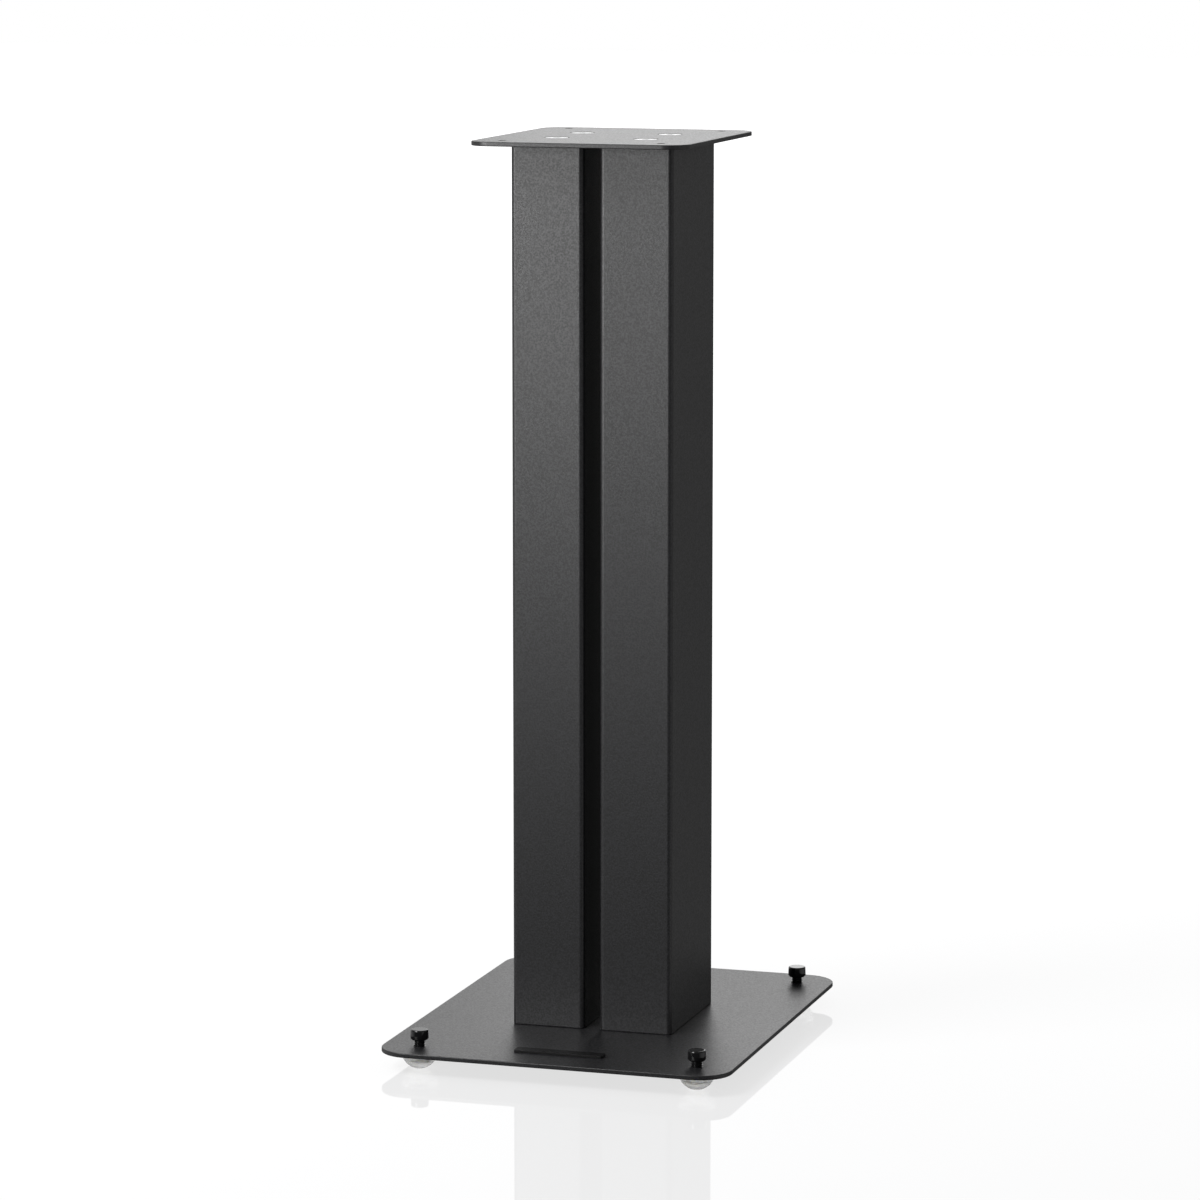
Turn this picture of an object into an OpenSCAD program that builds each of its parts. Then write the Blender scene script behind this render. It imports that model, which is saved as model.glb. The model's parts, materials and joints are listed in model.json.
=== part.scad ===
// Floor stand for one loudspeaker: two box columns between a wide base plate and a small top plate,
// levelled by four screws that are turned from above and stand in soft domed pads.
// Lengths are millimetres. The origin is on the floor, under the middle of the base plate.
// X runs to the right, seen from the front, Y runs to the back and Z runs up.

/* [Overall] */
// Height of the top plate's upper face above the floor
stand_h = 610; // [450:10:800]

/* [Base plate] */
// Width of the base plate, side to side
base_w = 240; // [220:5:320]
// Depth of the base plate, front to back
base_d = 300; // [260:5:400]
// Thickness of the base plate
base_t = 3; // [2.5:0.5:5]
// Radius of the base plate's corners
base_r = 22; // [5:1:35]
// Height of the base plate's underside above the floor, with the feet wound right in
base_lift = 12; // [11:0.5:16]

/* [Top plate] */
// Width of the top plate, side to side
top_w = 148; // [136:2:220]
// Depth of the top plate, front to back
top_d = 176; // [150:2:260]
// Thickness of the top plate
top_t = 3; // [2.5:0.5:5]
// Radius of the top plate's corners
top_r = 15; // [5:1:30]
// Diameter of the four corner holes that a speaker can be fixed through
fixing_d = 5.5; // [4:0.5:7]
// Distance of a corner hole's middle from the top plate's side edge
fixing_inset_x = 20; // [10:1:22]
// Distance of a corner hole's middle from the top plate's front or back edge
fixing_inset_y = 16; // [10:1:25]

/* [Columns] */
// Width of one column, side to side
column_w = 50; // [40:1:60]
// Depth of one column, front to back
column_d = 100; // [85:1:120]
// Thickness of the column tube's wall
column_wall = 2; // [1.5:0.5:3]
// Outside radius of the column tube's corners
column_r = 3; // [2:0.5:5]
// Inside radius of the column tube's corners
column_inner_r = 1; // [0.5:0.5:2]
// Width of the slot between the two columns
column_gap = 11; // [8:0.5:20]
// Thickness of the tapped block that closes each end of a column
block_t = 10; // [8:1:20]

/* [Bolts] */
// Diameter of the thread of the bolts that hold the plates to the columns
bolt_d = 8; // [6:0.5:8.5]
// Length of a bolt, with its countersunk head
bolt_l = 12; // [10:1:20]
// Diameter of a bolt's head at its face
bolt_head_d = 15.2; // [13:0.2:16]
// Depth of a bolt's face below the face of its plate
bolt_depth = 0.2; // [0.1:0.05:0.3]
// Diameter of the countersink at the face of a plate
sink_d = 17; // [16.8:0.2:19]
// Distance between the two bolts of a column
bolt_spacing = 56; // [40:2:64]
// Width across the flats of the hexagon socket in a bolt
socket_af = 5; // [4:0.5:6]
// Depth of the hexagon socket in a bolt
socket_depth = 2.6; // [1.6:0.2:3.2]

/* [Feet] */
// Distance of a foot's axis from the base plate's side edge
foot_inset_x = 24.5; // [20:0.5:34]
// Distance of a foot's axis from the base plate's front or back edge
foot_inset_y = 24.5; // [20:0.5:34]
// Diameter of the levelling screw's thread
thread_d = 8; // [7:0.5:9]
// Rise of the thread for one turn
thread_pitch = 1.25; // [1:0.25:1.5]
// Number of turns from wound right in to wound right out
foot_turns = 3; // [2:1:4]

/* [Screw head] */
// Diameter of the screw's head at its lower edge
head_d = 12.2; // [11:0.2:16]
// Diameter of the screw's head at its upper edge
head_top_d = 11.8; // [10:0.2:16]
// Height of the screw's head
head_h = 7; // [4:0.5:12]
// Size of the chamfer round the head's lower edge
head_chamfer = 1; // [0.4:0.2:1.4]
// Radius of the rounding of the head's upper edge
head_round = 1; // [0.4:0.2:2]
// Diameter of the turned relief under the head
relief_d = 6.8; // [5:0.2:7]
// Height of the turned relief under the head
relief_h = 1.4; // [0.6:0.2:2]

/* [Clinch nut] */
// Diameter of the nut's shank, pressed into the base plate
nut_shank_d = 10.6; // [10:0.2:13]
// Diameter of the nut's flange, against the underside of the base plate
nut_flange_d = 14; // [13.2:0.2:15]
// Thickness of the nut's flange
nut_flange_t = 2; // [1:0.25:2.5]

/* [Foot seat] */
// Diameter of the seat that the screw's end turns in
seat_d = 12.4; // [10:0.2:13]
// Diameter of the rim that keeps the seat in its pad
seat_rim_d = 15; // [13.4:0.2:16]
// Thickness of the seat's rim
seat_rim_t = 1.4; // [0.8:0.2:2]
// Height of the whole seat
seat_h = 5.2; // [4.8:0.1:5.6]
// Thickness of the lip that snaps over the screw's button end
seat_lip_t = 2; // [1.4:0.1:2.2]
// Diameter of the screw's neck inside that lip
neck_d = 5; // [3.5:0.25:5.5]
// Diameter of the button at the screw's end
button_d = 6.4; // [6:0.1:6.6]
// Thickness of the button at the screw's end
button_t = 1.6; // [1.2:0.1:2]

/* [Pad] */
// Diameter of the domed pad
pad_d = 24; // [22:0.5:30]
// Height of the straight rim above the dome
pad_rim_h = 0.3; // [0.2:0.1:1]
// Diameter of the patch at the bottom of the dome that the load presses flat
pad_flat_d = 4; // [2:0.5:8]

/* [Badge strip] */
// Length of the plain strip near the front edge of the base plate
badge_w = 61; // [30:1:90]
// Depth of the strip, front to back
badge_d = 9; // [5:0.5:14]
// Thickness of the strip
badge_t = 1.6; // [0.8:0.2:3]
// Radius of the strip's corners
badge_r = 1.5; // [0.5:0.5:2]
// Distance of the strip's middle from the base plate's front edge
badge_inset = 30; // [12:1:36]

/* [Hidden] */
// Clearance that a turning shaft has in its hole, measured on the radius
running_fit = 0.05;
// Clearance between fixed curved faces that seat on each other
seat_fit = 0.05;
// Clearance all round a block in its column tube
block_fit = 0.1;
// Gap between a pad's upper edge and the base plate, wound right in
pad_gap = 0.3;
// Gap between a clinch nut's flange and the seat below it
nut_gap = 0.6;
// Gap all round a clinch nut's flange in the pad
flange_gap = 0.4;
// Gap between the end of the thread and the seat
thread_gap = 0.5;
// Gap that is left between a screw's head and the base plate, wound right out
stop_gap = 0.45;
// Chamfers on the end of the thread and round the button
thread_chamfer = 0.6;
button_chamfer = 0.4;
// Run of every cut past the faces that it cuts
overrun = 1;
// Facets round a circle, and steps in a quarter of an outline's round stretch
$fn = 64;
arc_steps = 10;
// Number of sides of a hexagon socket
hexagon = 6;

steel_black = "#1d1e20";
screw_black = "#0c0c0d";
bolt_silver = "#c9cacb";
block_grey = "#6f7173";
seat_white = "#dcdbd4";
pad_clear = "#d9dcdc";
badge_black = "#141415";

base_top_z = base_lift + base_t;
top_plate_z = stand_h - top_t;
column_h = top_plate_z - base_top_z;
column_x = column_gap/2 + column_w/2;
block_w = column_w - 2*column_wall - 2*block_fit;
block_d = column_d - 2*column_wall - 2*block_fit;
foot_x = base_w/2 - foot_inset_x;
foot_y = base_d/2 - foot_inset_y;
fixing_x = top_w/2 - fixing_inset_x;
fixing_y = top_d/2 - fixing_inset_y;

// Heights of the foot's faces, from the underside of the base plate down to the floor
seat_top_z = base_lift - nut_flange_t - nut_gap;
seat_z = seat_top_z - seat_h;
button_z = seat_top_z - seat_lip_t - running_fit - button_t;
thread_z = seat_top_z + thread_gap;
pad_top_z = base_lift - pad_gap;
pad_centre_z = pad_top_z - pad_rim_h;
pad_flat_angle = acos(pad_flat_d/pad_d);
pad_dome_h = pad_centre_z/sin(pad_flat_angle);

// Heights of the foot's faces above the base plate, wound right in
head_z = base_top_z + foot_turns*thread_pitch + stop_gap;
relief_z = head_z - relief_h;

// Points of a round stretch about a centre, from one angle to another
function arc(centre, rx, ry, from, to) = [
    for (i = [0 : arc_steps])
        let (a = from + (to - from)*i/arc_steps)
        [centre[0] + rx*cos(a), centre[1] + ry*sin(a)]
];

// Rectangle with round corners, centred on the origin
module rounded_rectangle(w, d, r) {
    square([w - 2*r, d], center = true);
    square([w, d - 2*r], center = true);
    for (x = [-1, 1], y = [-1, 1])
        translate([x*(w/2 - r), y*(d/2 - r)]) circle(r);
}

module at_corners(x, y, z) {
    for (side = [-1, 1], end = [-1, 1])
        translate([side*x, end*y, z]) children();
}

// Right-angled countersink through a plate, its wide mouth at z = 0 and its narrow end above
module countersink(plate_t) {
    translate([0, 0, -overrun])
        cylinder(r1 = sink_d/2 + overrun, r2 = sink_d/2 - plate_t - overrun, h = plate_t + 2*overrun);
}

// Countersunk bolt with its face down, just inside the plate. Its cone lies in the countersink, and a
// straight rim joins the cone to the face
module countersunk_bolt() {
    rim_h = (sink_d - bolt_head_d)/2 - seat_fit - bolt_depth;
    cone_h = (bolt_head_d - bolt_d)/2;
    translate([0, 0, bolt_depth]) difference() {
        union() {
            cylinder(d = bolt_head_d, h = rim_h);
            translate([0, 0, rim_h]) cylinder(d1 = bolt_head_d, d2 = bolt_d, h = cone_h);
            cylinder(d = bolt_d, h = bolt_l);
        }
        translate([0, 0, -overrun])
            cylinder(d = socket_af/cos(180/hexagon), h = socket_depth + overrun, $fn = hexagon);
    }
}

module base_plate() {
    color(steel_black) difference() {
        translate([0, 0, base_lift])
            linear_extrude(height = base_t) rounded_rectangle(base_w, base_d, base_r);
        at_corners(foot_x, foot_y, base_lift - overrun)
            cylinder(r = nut_shank_d/2 + seat_fit, h = base_t + 2*overrun);
        at_corners(column_x, bolt_spacing/2, base_lift) countersink(base_t);
    }
}

module top_plate() {
    color(steel_black) difference() {
        translate([0, 0, top_plate_z])
            linear_extrude(height = top_t) rounded_rectangle(top_w, top_d, top_r);
        at_corners(fixing_x, fixing_y, top_plate_z - overrun)
            cylinder(d = fixing_d, h = top_t + 2*overrun);
        at_corners(column_x, bolt_spacing/2, stand_h) mirror([0, 0, 1]) countersink(top_t);
    }
}

// Box tube that stands between the two plates
module column(side) {
    color(steel_black) translate([side*column_x, 0, base_top_z])
        linear_extrude(height = column_h) difference() {
            rounded_rectangle(column_w, column_d, column_r);
            rounded_rectangle(column_w - 2*column_wall, column_d - 2*column_wall, column_inner_r);
        }
}

// Steel block welded into the end of a column, tapped for its two bolts. It is drawn as a bottom block,
// with the mouths of its holes opened by the tips of the countersinks
module end_block() {
    difference() {
        linear_extrude(height = block_t) rounded_rectangle(block_w, block_d, column_inner_r);
        for (y = [-1, 1]) translate([0, y*bolt_spacing/2, 0]) {
            translate([0, 0, -overrun]) cylinder(r = bolt_d/2 + seat_fit, h = block_t + 2*overrun);
            block_sink();
        }
    }
}

// Tip of the countersink, where it runs on through the plate into the block
module block_sink() {
    mouth_r = sink_d/2 - base_t;
    tip_r = bolt_d/2 + seat_fit;
    if (mouth_r > tip_r)
        translate([0, 0, -overrun])
            cylinder(r1 = mouth_r + overrun, r2 = tip_r, h = mouth_r - tip_r + overrun);
}

module bottom_block(side) {
    color(block_grey) translate([side*column_x, 0, base_top_z]) end_block();
}

module top_block(side) {
    color(block_grey) translate([side*column_x, 0, top_plate_z]) mirror([0, 0, 1]) end_block();
}

module top_bolts() {
    color(bolt_silver) at_corners(column_x, bolt_spacing/2, stand_h)
        mirror([0, 0, 1]) countersunk_bolt();
}

module base_bolts() {
    color(bolt_silver) at_corners(column_x, bolt_spacing/2, base_lift) countersunk_bolt();
}

// Plain strip on the base plate, with nothing marked on it
module badge_strip() {
    color(badge_black) translate([0, badge_inset - base_d/2, base_top_z])
        linear_extrude(height = badge_t) rounded_rectangle(badge_w, badge_d, badge_r);
}

module at_foot(side, end) {
    translate([side*foot_x, end*foot_y, 0]) children();
}

// Threaded nut pressed into the base plate from below, its shank flush with the plate's upper face
module foot_nut(side, end) {
    color(steel_black) at_foot(side, end) difference() {
        union() {
            translate([0, 0, base_lift - nut_flange_t]) cylinder(d = nut_flange_d, h = nut_flange_t);
            translate([0, 0, base_lift]) cylinder(d = nut_shank_d, h = base_t);
        }
        translate([0, 0, base_lift - nut_flange_t - overrun])
            cylinder(r = thread_d/2 + running_fit, h = nut_flange_t + base_t + 2*overrun);
    }
}

// Levelling screw, turned from one bar: button end, neck, thread, relief and head
module foot_screw(side, end) {
    head_top_z = head_z + head_h;
    outline = concat(
        [
            [0, button_z],
            [button_d/2 - button_chamfer, button_z],
            [button_d/2, button_z + button_chamfer],
            [button_d/2, button_z + button_t],
            [neck_d/2, button_z + button_t],
            [neck_d/2, thread_z],
            [thread_d/2 - thread_chamfer, thread_z],
            [thread_d/2, thread_z + thread_chamfer],
            [thread_d/2, relief_z],
            [relief_d/2, relief_z],
            [relief_d/2, head_z],
            [head_d/2 - head_chamfer, head_z],
            [head_d/2, head_z + head_chamfer]
        ],
        arc([head_top_d/2 - head_round, head_top_z - head_round], head_round, head_round, 0, 90),
        [[0, head_top_z]]
    );
    color(screw_black) at_foot(side, end) rotate_extrude() polygon(outline);
}

// Seat that the button end snaps into and turns in
module foot_seat(side, end) {
    socket_z = button_z - running_fit;
    socket_top_z = button_z + button_t + running_fit;
    color(seat_white) at_foot(side, end) difference() {
        union() {
            translate([0, 0, seat_z]) cylinder(d = seat_rim_d, h = seat_rim_t);
            translate([0, 0, seat_z]) cylinder(d = seat_d, h = seat_h);
        }
        translate([0, 0, socket_z])
            cylinder(r = button_d/2 + running_fit, h = socket_top_z - socket_z);
        translate([0, 0, socket_z])
            cylinder(r = neck_d/2 + running_fit, h = seat_top_z - socket_z + overrun);
    }
}

// Soft dome that stands on the floor, moulded round the seat and hollowed for the nut's flange
module foot_pad(side, end) {
    recess_r = nut_flange_d/2 + flange_gap;
    hold_r = seat_d/2 + seat_fit;
    rim_r = seat_rim_d/2 + seat_fit;
    outline = concat(
        [[0, 0]],
        arc([0, pad_centre_z], pad_d/2, pad_dome_h, -pad_flat_angle, 0),
        [
            [pad_d/2, pad_top_z],
            [recess_r, pad_top_z],
            [recess_r, seat_top_z],
            [hold_r, seat_top_z],
            [hold_r, seat_z + seat_rim_t],
            [rim_r, seat_z + seat_rim_t],
            [rim_r, seat_z],
            [0, seat_z]
        ]
    );
    color(pad_clear) at_foot(side, end) rotate_extrude() polygon(outline);
}

module left_column() { column(-1); }
module right_column() { column(1); }
module left_column_top_block() { top_block(-1); }
module left_column_bottom_block() { bottom_block(-1); }
module right_column_top_block() { top_block(1); }
module right_column_bottom_block() { bottom_block(1); }
module front_left_foot_nut() { foot_nut(-1, -1); }
module front_right_foot_nut() { foot_nut(1, -1); }
module back_left_foot_nut() { foot_nut(-1, 1); }
module back_right_foot_nut() { foot_nut(1, 1); }
module front_left_foot_screw() { foot_screw(-1, -1); }
module front_right_foot_screw() { foot_screw(1, -1); }
module back_left_foot_screw() { foot_screw(-1, 1); }
module back_right_foot_screw() { foot_screw(1, 1); }
module front_left_foot_seat() { foot_seat(-1, -1); }
module front_right_foot_seat() { foot_seat(1, -1); }
module back_left_foot_seat() { foot_seat(-1, 1); }
module back_right_foot_seat() { foot_seat(1, 1); }
module front_left_foot_pad() { foot_pad(-1, -1); }
module front_right_foot_pad() { foot_pad(1, -1); }
module back_left_foot_pad() { foot_pad(-1, 1); }
module back_right_foot_pad() { foot_pad(1, 1); }

base_plate();
top_plate();
left_column();
right_column();
left_column_top_block();
left_column_bottom_block();
right_column_top_block();
right_column_bottom_block();
top_bolts();
base_bolts();
badge_strip();
front_left_foot_nut();
front_right_foot_nut();
back_left_foot_nut();
back_right_foot_nut();
front_left_foot_screw();
front_right_foot_screw();
back_left_foot_screw();
back_right_foot_screw();
front_left_foot_seat();
front_right_foot_seat();
back_left_foot_seat();
back_right_foot_seat();
front_left_foot_pad();
front_right_foot_pad();
back_left_foot_pad();
back_right_foot_pad();
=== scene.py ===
import json
from math import acos, cos, pi, radians, sin

import bmesh
import bpy
from bpy.props import FloatProperty, FloatVectorProperty, PointerProperty
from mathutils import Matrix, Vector


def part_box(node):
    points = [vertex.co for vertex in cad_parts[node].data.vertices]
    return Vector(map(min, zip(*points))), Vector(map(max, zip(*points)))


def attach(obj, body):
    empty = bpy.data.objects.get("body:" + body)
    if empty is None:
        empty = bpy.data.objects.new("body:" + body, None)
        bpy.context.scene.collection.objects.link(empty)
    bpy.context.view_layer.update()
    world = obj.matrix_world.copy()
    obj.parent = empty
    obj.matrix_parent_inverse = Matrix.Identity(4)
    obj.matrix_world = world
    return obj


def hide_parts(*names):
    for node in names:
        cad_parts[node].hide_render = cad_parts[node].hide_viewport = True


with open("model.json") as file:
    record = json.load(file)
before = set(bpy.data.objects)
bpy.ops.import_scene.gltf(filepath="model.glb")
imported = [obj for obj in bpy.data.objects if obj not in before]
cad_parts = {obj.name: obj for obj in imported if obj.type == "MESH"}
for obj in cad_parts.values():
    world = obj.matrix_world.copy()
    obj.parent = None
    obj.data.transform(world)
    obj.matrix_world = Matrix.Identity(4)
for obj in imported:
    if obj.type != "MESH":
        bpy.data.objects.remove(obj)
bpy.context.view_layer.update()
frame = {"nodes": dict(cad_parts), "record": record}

bl_info = {
    "name": "Speaker stand",
    "version": (1, 0, 0),
    "blender": (4, 5, 0),
    "location": "3D view, sidebar, Speaker stand",
    "description": "Dresses the packed loudspeaker stand: plates, columns, bolts and levelling feet",
    "category": "Mesh",
}

MM = 0.001
# Coplanar points this far past a rounded edge keep the flat beside it shading flat
HOLD = 0.2 * MM
# Edges that turn more than this stay crisp
CRISP = radians(38)
# Points closer than this become one
MERGE = 0.0005 * MM
# Depth of a metric thread, as a share of its pitch
THREAD_SHARE = 0.5413
# Segments round a turned piece, and round a hole or a bolt
ROUND = 64
SMALL_ROUND = 48
FEET = ("front_left", "front_right", "back_left", "back_right")
SIDES = ("left", "right")
FIXING_HOLES = next(m for m in frame["record"]["mounts"] if m["kind"] == "bolt_pattern")["dims"]


def linear(code):
    """Linear colour, with alpha, of an sRGB hex value."""
    parts = [int(code[i:i + 2], 16) / 255 for i in (1, 3, 5)]
    bent = [p / 12.92 if p <= 0.04045 else ((p + 0.055) / 1.055) ** 2.4 for p in parts]
    return (*bent, 1.0)


class PlateSizes(bpy.types.PropertyGroup):
    """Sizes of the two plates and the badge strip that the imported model's boxes don't give"""
    base_corner: FloatProperty(
        name="Base plate corner radius", description="Radius of the base plate's corners, seen from above",
        default=22 * MM, min=1 * MM, unit="LENGTH")
    top_corner: FloatProperty(
        name="Top plate corner radius", description="Radius of the top plate's corners, seen from above",
        default=15 * MM, min=1 * MM, unit="LENGTH")
    edge_round: FloatProperty(
        name="Edge rounding", description="Rounding that the powder leaves on a plate's cut edges",
        default=0.5 * MM, min=0.1 * MM, max=1.2 * MM, unit="LENGTH")
    fixing_hole: FloatProperty(
        name="Fixing hole diameter", description="Diameter of the four holes near the top plate's corners",
        default=2 * FIXING_HOLES["hole_r_mm"] * MM, min=1 * MM, unit="LENGTH")
    fixing_across: FloatProperty(
        name="Fixing holes, side to side", description="Distance between their middles, side to side",
        default=FIXING_HOLES["spacing_x_mm"] * MM, min=10 * MM, unit="LENGTH")
    fixing_along: FloatProperty(
        name="Fixing holes, front to back", description="Distance between their middles, front to back",
        default=FIXING_HOLES["spacing_y_mm"] * MM, min=10 * MM, unit="LENGTH")
    fixing_round: FloatProperty(
        name="Fixing hole rounding", description="Rounding of the fixing holes' edges",
        default=0.4 * MM, min=0.05 * MM, max=1.2 * MM, unit="LENGTH")
    nut_hole: FloatProperty(
        name="Nut hole diameter", description="Diameter of the base plate's holes that the clinch nuts fill",
        default=10.7 * MM, min=1 * MM, unit="LENGTH")
    nut_round: FloatProperty(
        name="Nut hole rounding", description="Rounding of the nut holes' edges",
        default=0.1 * MM, min=0.05 * MM, max=1.2 * MM, unit="LENGTH")
    sink: FloatProperty(
        name="Countersink diameter", description="Diameter of a countersink at the plate's face",
        default=17 * MM, min=5 * MM, unit="LENGTH")
    badge_corner: FloatProperty(
        name="Badge strip corner radius", description="Radius of the badge strip's corners, seen from above",
        default=1.5 * MM, min=0.5 * MM, unit="LENGTH")
    badge_round: FloatProperty(
        name="Badge strip edge rounding", description="Rounding of the badge strip's upper and lower edges",
        default=0.15 * MM, min=0.1 * MM, max=0.6 * MM, unit="LENGTH")


class ColumnSizes(bpy.types.PropertyGroup):
    """Sizes of the rolled box tube that the columns are cut from"""
    wall: FloatProperty(
        name="Wall", description="Thickness of the tube's wall",
        default=2 * MM, min=1 * MM, unit="LENGTH")
    corner: FloatProperty(
        name="Outside corner radius", description="Radius of the tube's corners, outside",
        default=3 * MM, min=1 * MM, unit="LENGTH")
    inner_corner: FloatProperty(
        name="Inside corner radius", description="Radius of the tube's corners, inside",
        default=1 * MM, min=0.2 * MM, unit="LENGTH")
    hollow: FloatProperty(
        name="Hollow of the faces", description="How far the middle of a face lies behind its corners",
        default=0.12 * MM, min=0, max=0.5 * MM, unit="LENGTH")
    end_round: FloatProperty(
        name="End rounding", description="Rounding of the tube's cut ends, seen as a fine dark joint line",
        default=0.7 * MM, min=0.1 * MM, unit="LENGTH")


class BoltSizes(bpy.types.PropertyGroup):
    """Sizes of the countersunk bolts"""
    spacing: FloatProperty(
        name="Bolt spacing", description="Distance between the two bolts of a column",
        default=56 * MM, min=10 * MM, unit="LENGTH")
    thread: FloatProperty(
        name="Thread diameter", description="Outside diameter of the bolts' and levelling screws' thread",
        default=8 * MM, min=3 * MM, unit="LENGTH")
    pitch: FloatProperty(
        name="Pitch", description="Rise of the thread in one turn",
        default=1.25 * MM, min=0.5 * MM, unit="LENGTH")
    head: FloatProperty(
        name="Head diameter", description="Diameter of the countersunk head at its face",
        default=15.2 * MM, min=5 * MM, unit="LENGTH")
    rim: FloatProperty(
        name="Head rim height", description="Height of the straight rim between the head's face and its cone",
        default=0.65 * MM, min=0.1 * MM, unit="LENGTH")
    socket: FloatProperty(
        name="Socket across flats", description="Width of the hexagon socket across its flats",
        default=5 * MM, min=2 * MM, unit="LENGTH")
    socket_depth: FloatProperty(
        name="Socket depth", description="Depth of the hexagon socket",
        default=2.6 * MM, min=1 * MM, unit="LENGTH")


class FootSizes(bpy.types.PropertyGroup):
    """Sizes of the levelling screws and the domed pads"""
    head_bottom: FloatProperty(
        name="Head, underside", description="Height of the levelling screw's head underside above the floor",
        default=19.2 * MM, min=15 * MM, unit="LENGTH")
    head_top: FloatProperty(
        name="Head diameter at the top", description="Diameter of the tapered head at its upper edge",
        default=11.8 * MM, min=8 * MM, unit="LENGTH")
    head_round: FloatProperty(
        name="Head rounding", description="Radius of the head's upper edge",
        default=1 * MM, min=0.2 * MM, unit="LENGTH")
    head_chamfer: FloatProperty(
        name="Head chamfer", description="Chamfer round the head's lower edge",
        default=1 * MM, min=0.2 * MM, unit="LENGTH")
    relief: FloatProperty(
        name="Relief diameter", description="Diameter of the turned relief under the head",
        default=6.8 * MM, min=3 * MM, unit="LENGTH")
    relief_height: FloatProperty(
        name="Relief height", description="Height of the turned relief under the head",
        default=1.4 * MM, min=0.5 * MM, unit="LENGTH")
    thread_start: FloatProperty(
        name="Start of the thread", description="Height above the floor where the screw's thread starts",
        default=9.9 * MM, min=5 * MM, unit="LENGTH")
    neck: FloatProperty(
        name="Neck diameter", description="Diameter of the neck that turns in the seat's lip",
        default=5 * MM, min=2 * MM, unit="LENGTH")
    button: FloatProperty(
        name="Button diameter", description="Diameter of the button end that the seat holds",
        default=6.4 * MM, min=3 * MM, unit="LENGTH")
    button_height: FloatProperty(
        name="Button height", description="Height of the button end",
        default=1.6 * MM, min=0.5 * MM, unit="LENGTH")
    pad_flat: FloatProperty(
        name="Pad contact diameter", description="Diameter of the patch that the load presses flat",
        default=4 * MM, min=1 * MM, unit="LENGTH")
    pad_round: FloatProperty(
        name="Pad edge rounding", description="Rounding of the pad's upper edges",
        default=0.3 * MM, min=0.1 * MM, max=0.6 * MM, unit="LENGTH")
    recess: FloatProperty(
        name="Pad recess diameter", description="Diameter of the recess over the clinch nut's flange",
        default=14.8 * MM, min=8 * MM, unit="LENGTH")
    seat_fit: FloatProperty(
        name="Fit round the seat", description="Gap between the pad and the seat moulded into it",
        default=0.05 * MM, min=0, max=0.2 * MM, unit="LENGTH")
    seat: FloatProperty(
        name="Seat diameter", description="Diameter of the seat above its rim",
        default=12.4 * MM, min=6 * MM, unit="LENGTH")
    seat_rim: FloatProperty(
        name="Seat rim height", description="Height of the rim that keeps the seat in the pad",
        default=1.4 * MM, min=0.5 * MM, unit="LENGTH")


class FinishColours(bpy.types.PropertyGroup):
    """Colours of the stand's finishes"""
    powder: FloatVectorProperty(
        name="Powder coat", description="Black of the powder coat",
        default=linear("#0c0c0d"), size=4, min=0, max=1, subtype="COLOR")
    powder_thin: FloatVectorProperty(
        name="Powder coat, thin", description="Black of the powder coat where it lies a little thinner",
        default=linear("#101011"), size=4, min=0, max=1, subtype="COLOR")
    # Painted highlight: a lighter black for the grain tops, standing in for the light that they catch
    powder_grain_highlight: FloatVectorProperty(
        name="Powder coat, grains", description="Black of the powder coat on the tops of its grains",
        default=linear("#242426"), size=4, min=0, max=1, subtype="COLOR")
    screw: FloatVectorProperty(
        name="Levelling screw", description="Black of the levelling screws",
        default=linear("#0c0c0d"), size=4, min=0, max=1, subtype="COLOR")
    zinc: FloatVectorProperty(
        name="Zinc", description="Colour of the bolts' bright zinc plate",
        default=linear("#d3d4d6"), size=4, min=0, max=1, subtype="COLOR")
    zinc_dull: FloatVectorProperty(
        name="Zinc, handled", description="Colour of the zinc plate where it has dulled",
        default=linear("#b4b5b4"), size=4, min=0, max=1, subtype="COLOR")
    steel: FloatVectorProperty(
        name="Bare steel", description="Colour of the cut bar inside the columns",
        default=linear("#a3a4a5"), size=4, min=0, max=1, subtype="COLOR")
    badge: FloatVectorProperty(
        name="Badge strip", description="Black of the bare badge strip",
        default=linear("#070708"), size=4, min=0, max=1, subtype="COLOR")
    nylon: FloatVectorProperty(
        name="Nylon", description="Natural colour of the moulded seats",
        default=linear("#f0efea"), size=4, min=0, max=1, subtype="COLOR")
    silicone: FloatVectorProperty(
        name="Silicone", description="Milky colour of the domed pads",
        default=linear("#f5f5f5"), size=4, min=0, max=1, subtype="COLOR")
    floor: FloatVectorProperty(
        name="Floor", description="Colour of the sheet under the stand, before its own light",
        default=linear("#7c7c7d"), size=4, min=0, max=1, subtype="COLOR")


class StudioSettings(bpy.types.PropertyGroup):
    """Light and camera of the studio"""
    room_light: FloatProperty(
        name="Room light", description="Level of the soft light from all round",
        default=0.35, min=0)
    floor_light: FloatProperty(
        name="Floor's own light", description="Level of the light by which the floor looks white",
        default=0.72, min=0)
    softbox_power: FloatProperty(
        name="Softbox power", description="Power of the softbox at the front left, in watts",
        default=12, min=0, unit="POWER")
    top_power: FloatProperty(
        name="Top softbox power", description="Power of the softbox high at the front left, in watts",
        default=19, min=0, unit="POWER")
    backdrop_power: FloatProperty(
        name="Backdrop lamp power", description="Power of the large lamp behind the stand, in watts",
        default=9, min=0, unit="POWER")
    focal_length: FloatProperty(
        name="Focal length", description="Focal length in millimetres on a 36 mm wide sensor",
        default=147.67, min=20, unit="CAMERA")


def add_node(tree, kind, values=None, links=None, **settings):
    """Add a node with its settings, the values of its sockets and the sockets that feed it."""
    made = tree.nodes.new(kind)
    for name, value in settings.items():
        setattr(made, name, value)
    for socket, value in (values or {}).items():
        made.inputs[socket].default_value = value
    for socket, source in (links or {}).items():
        tree.links.new(source, made.inputs[socket])
    return made


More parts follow.
